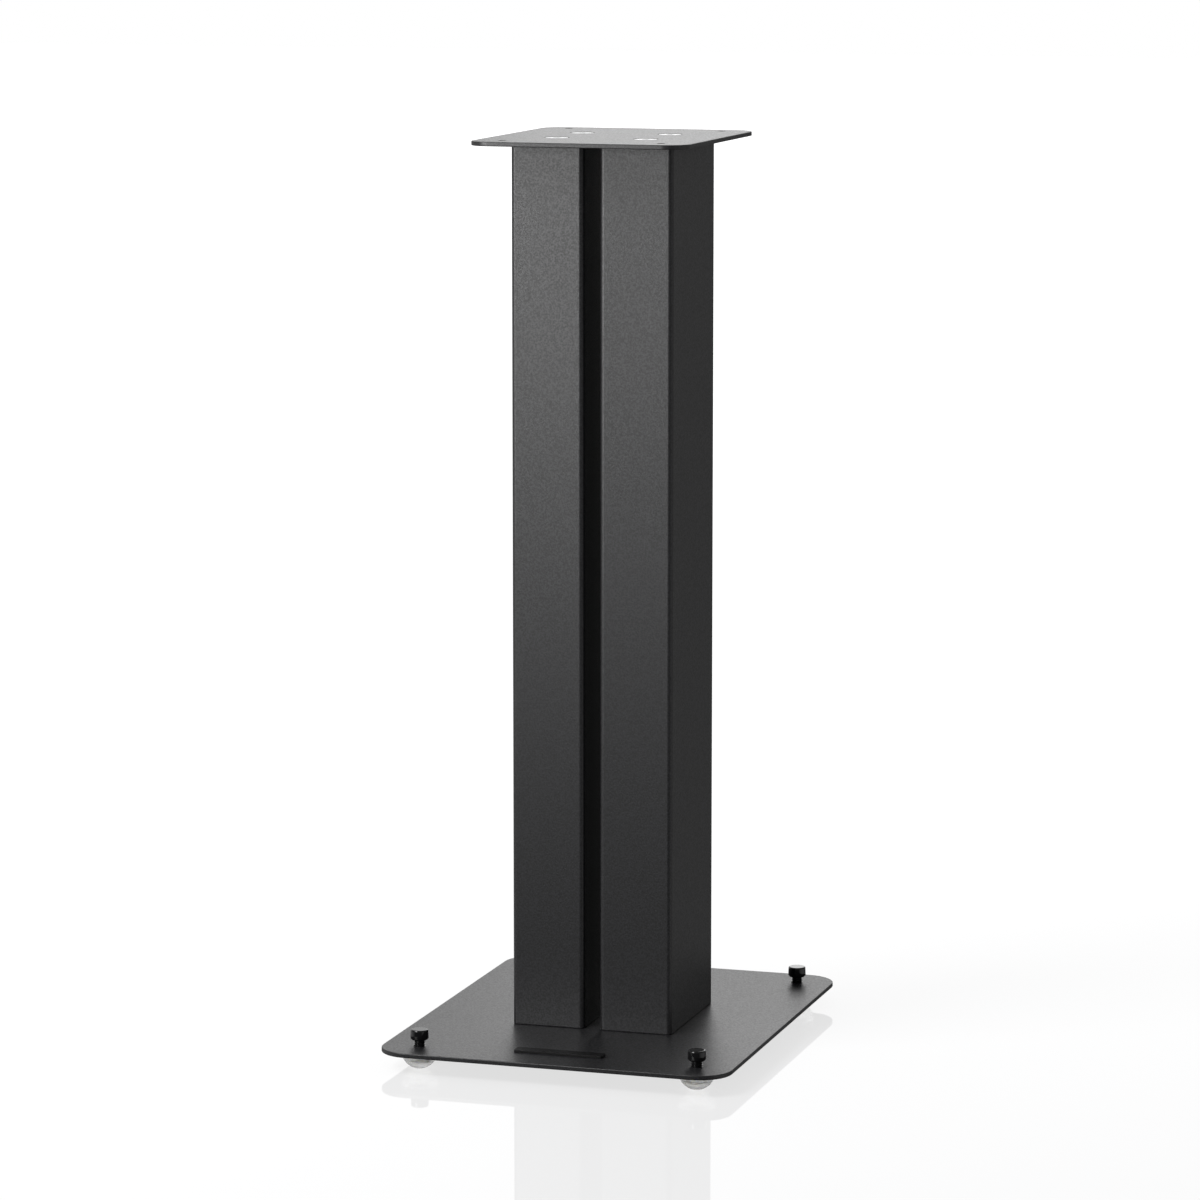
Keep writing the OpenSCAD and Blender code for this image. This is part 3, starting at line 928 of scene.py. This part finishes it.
class STAND_OT_bolts(bpy.types.Operator):
    """Make the countersunk bolts of the top plate and the base plate"""
    bl_idname = "stand.bolts"
    bl_label = "Bolts"

    def execute(self, context):
        scene = context.scene
        sizes = scene.stand_bolts
        zinc = zinc_plated_steel(scene.stand_colours, sizes)
        for node, up in (("top_bolts", -1), ("base_bolts", 1)):
            low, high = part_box(node)
            face = low.z if up > 0 else high.z
            mesh = bmesh.new()
            for x, y in corners(column_middle(), sizes.spacing / 2):
                countersunk_bolt(mesh, upright(x, y, face, up), high.z - low.z, sizes)
            finish_piece(f"{node}_zinc", mesh, zinc, "stand", "plated_steel", node)
        return {"FINISHED"}


class STAND_OT_badge_strip(bpy.types.Operator):
    """Make the bare strip near the front edge of the base plate"""
    bl_idname = "stand.badge_strip"
    bl_label = "Badge strip"

    def execute(self, context):
        scene = context.scene
        sizes = scene.stand_plates
        mesh = bmesh.new()
        plate(mesh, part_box("badge_strip"), sizes.badge_corner, sizes.badge_round)
        finish_piece(
            "badge_strip_bare", mesh, moulded_black_abs(scene.stand_colours), "stand", "badge", "badge_strip")
        return {"FINISHED"}


class STAND_OT_levelling_screws(bpy.types.Operator):
    """Make the four levelling screws, with their threads"""
    bl_idname = "stand.levelling_screws"
    bl_label = "Levelling screws"

    def execute(self, context):
        scene = context.scene
        sizes = scene.stand_feet
        lacquer = lacquered_steel(scene.stand_colours)
        # Chamfer of the button end, fillet under the head, and wear of the head's lower edge
        button_chamfer, fillet, worn = 0.4 * MM, 0.2 * MM, 0.05 * MM
        for foot in FEET:
            low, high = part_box(f"{foot}_foot_screw")
            spot = upright((low.x + high.x) / 2, (low.y + high.y) / 2)
            head = (high.x - low.x) / 2
            crown = sizes.head_top / 2 - sizes.head_round
            under = sizes.head_bottom
            side = under + sizes.head_chamfer
            run_out = under - sizes.relief_height
            stem = sizes.relief / 2
            button = sizes.button / 2
            button_top = low.z + sizes.button_height
            below = [
                (0, low.z), (button - button_chamfer, low.z), (button, low.z + button_chamfer),
                (button, button_top), (sizes.neck / 2, button_top),
                (sizes.neck / 2, sizes.thread_start), (stem, sizes.thread_start),
            ]
            above = [
                (stem, run_out), (stem, under - fillet),
                *bend(stem + fillet, under - fillet, fillet, 180, 90, steps=3),
                (head - sizes.head_chamfer, under), (head - worn, side - worn), (head, side + 2 * worn),
                *bend(crown, high.z - sizes.head_round, sizes.head_round, 0, 90, steps=8),
                (crown - HOLD, high.z), (0, high.z),
            ]
            mesh = bmesh.new()
            turn(mesh, spot, below)
            cut_thread(mesh, spot, scene.stand_bolts, sizes.thread_start, run_out, stem)
            turn(mesh, spot, above)
            finish_piece(
                f"{foot}_levelling_screw", mesh, lacquer, f"{foot}_screw", "black_screw",
                f"{foot}_foot_screw")
        return {"FINISHED"}


class STAND_OT_nuts_and_seats(bpy.types.Operator):
    """Finish the clinch nuts in the base plate and the nylon seats in the pads"""
    bl_idname = "stand.nuts_and_seats"
    bl_label = "Clinch nuts and seats"

    def execute(self, context):
        colours = context.scene.stand_colours
        coat, nylon = powder_coated_steel(colours), moulded_nylon(colours)
        for foot in FEET:
            dress_node(f"{foot}_foot_nut", coat)
            dress_node(f"{foot}_foot_seat", nylon)
        return {"FINISHED"}


class STAND_OT_pads(bpy.types.Operator):
    """Make the four domed pads, each moulded round its seat"""
    bl_idname = "stand.pads"
    bl_label = "Domed pads"

    def execute(self, context):
        scene = context.scene
        sizes = scene.stand_feet
        rubber = moulded_silicone(scene.stand_colours)
        # Steps down the dome, and the chamfer at the foot of the recess
        steps, chamfer = 20, 0.2 * MM
        for foot in FEET:
            low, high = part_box(f"{foot}_foot_pad")
            seat_low, seat_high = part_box(f"{foot}_foot_seat")
            spot = upright((low.x + high.x) / 2, (low.y + high.y) / 2)
            radius = (high.x - low.x) / 2
            edge = sizes.pad_round
            widest = high.z - edge
            contact = sizes.pad_flat / 2
            # The dome is round, drawn down a little so that it meets the flat patch at the floor
            meeting = acos(contact / radius)
            drop = widest / sin(meeting)
            angles = [meeting * i / steps for i in range(steps - 1, 0, -1)]
            recess = sizes.recess / 2
            hold = sizes.seat / 2 + sizes.seat_fit
            rim = (seat_high.x - seat_low.x) / 2 + sizes.seat_fit
            rim_top = seat_low.z + sizes.seat_rim
            section = [
                (0, low.z), (contact, low.z),
                *[(radius * cos(a), widest - drop * sin(a)) for a in angles],
                *bend(radius - edge, widest, edge, 0, 90),
                (radius - 2 * edge, high.z), (recess + edge + HOLD, high.z),
                *bend(recess + edge, widest, edge, 90, 180),
                (recess, seat_high.z + chamfer), (recess - chamfer, seat_high.z), (hold, seat_high.z),
                (hold, rim_top), (rim, rim_top), (rim, seat_low.z), (0, seat_low.z),
            ]
            mesh = bmesh.new()
            turn(mesh, spot, section)
            finish_piece(
                f"{foot}_domed_pad", mesh, rubber, f"{foot}_pad", "silicone", f"{foot}_foot_pad")
        return {"FINISHED"}


class STAND_PT_sidebar(bpy.types.Panel):
    """Lists the stand's pieces and the sizes and colours that they are made from"""
    bl_idname = "STAND_PT_sidebar"
    bl_label = "Speaker stand"
    bl_space_type = "VIEW_3D"
    bl_region_type = "UI"
    bl_category = "Speaker stand"

    def draw(self, context):
        for operator in OPERATORS:
            self.layout.operator(operator.bl_idname, text=operator.bl_label)
        for name, group in SETTINGS.items():
            settings = getattr(context.scene, name)
            box = self.layout.box()
            for field in group.__annotations__:
                box.prop(settings, field)


SETTINGS = {
    "stand_plates": PlateSizes,
    "stand_columns": ColumnSizes,
    "stand_bolts": BoltSizes,
    "stand_feet": FootSizes,
    "stand_colours": FinishColours,
    "stand_studio": StudioSettings,
}
OPERATORS = (
    STAND_OT_stage, STAND_OT_plates, STAND_OT_columns, STAND_OT_end_blocks, STAND_OT_bolts,
    STAND_OT_badge_strip, STAND_OT_levelling_screws, STAND_OT_nuts_and_seats, STAND_OT_pads,
)


def register():
    for group in SETTINGS.values():
        bpy.utils.register_class(group)
    for operator in OPERATORS:
        bpy.utils.register_class(operator)
    bpy.utils.register_class(STAND_PT_sidebar)
    for name, group in SETTINGS.items():
        setattr(bpy.types.Scene, name, PointerProperty(type=group))


def unregister():
    for name in SETTINGS:
        delattr(bpy.types.Scene, name)
    bpy.utils.unregister_class(STAND_PT_sidebar)
    for operator in reversed(OPERATORS):
        bpy.utils.unregister_class(operator)
    for group in reversed(SETTINGS.values()):
        bpy.utils.unregister_class(group)


def main():
    register()
    bpy.ops.stand.stage()
    bpy.ops.stand.plates()
    bpy.ops.stand.columns()
    bpy.ops.stand.end_blocks()
    bpy.ops.stand.bolts()
    bpy.ops.stand.badge_strip()
    bpy.ops.stand.levelling_screws()
    bpy.ops.stand.nuts_and_seats()
    bpy.ops.stand.pads()


if __name__ == "__main__":
    main()
